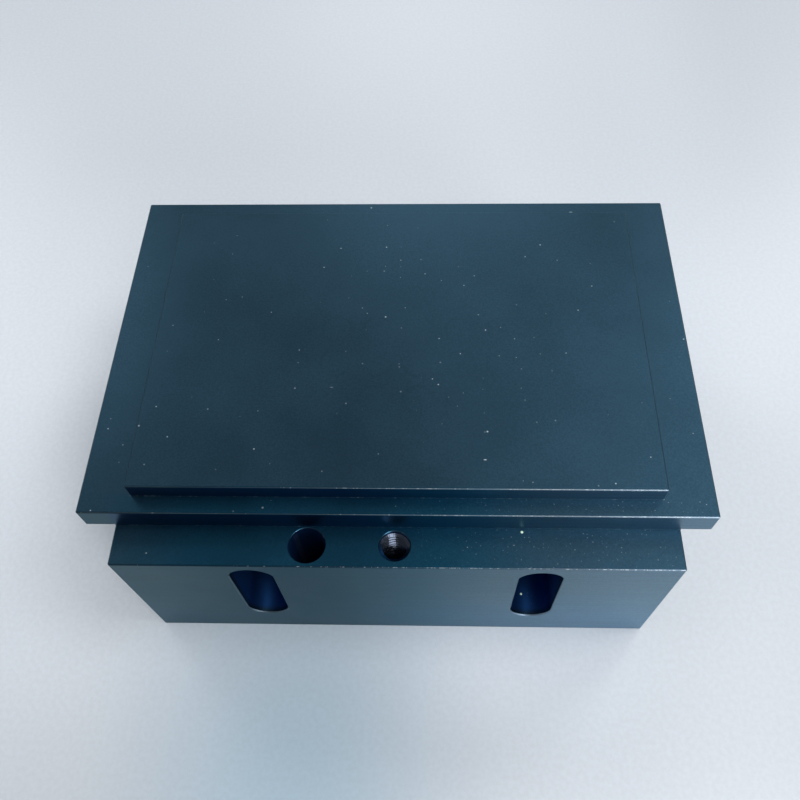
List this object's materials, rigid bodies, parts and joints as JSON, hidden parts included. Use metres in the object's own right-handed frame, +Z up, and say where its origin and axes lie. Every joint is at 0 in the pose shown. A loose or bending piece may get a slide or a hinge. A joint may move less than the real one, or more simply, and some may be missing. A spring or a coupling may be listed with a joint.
{
  "type": "heat block insert",
  "caption": "Black anodised aluminium heat block insert for a flat-bottomed well plate: base, wide flange, raised platform, front ledge with probe bore and tapped hole, slotted front.",
  "frame": {"origin": "centre of the underside of the whole block's box, on the plane that it stands on", "axes": "+X along the block's long side, to the right as seen from the slotted front; +Y from front to back; +Z up, out of the platform"},
  "size_m": [0.1278, 0.0926, 0.052],
  "materials": {
    "anodised_block": "black anodised, satin"
  },
  "bodies": {
    "root": {"heat_block": "anodised_block"}
  },
  "joints": []
}
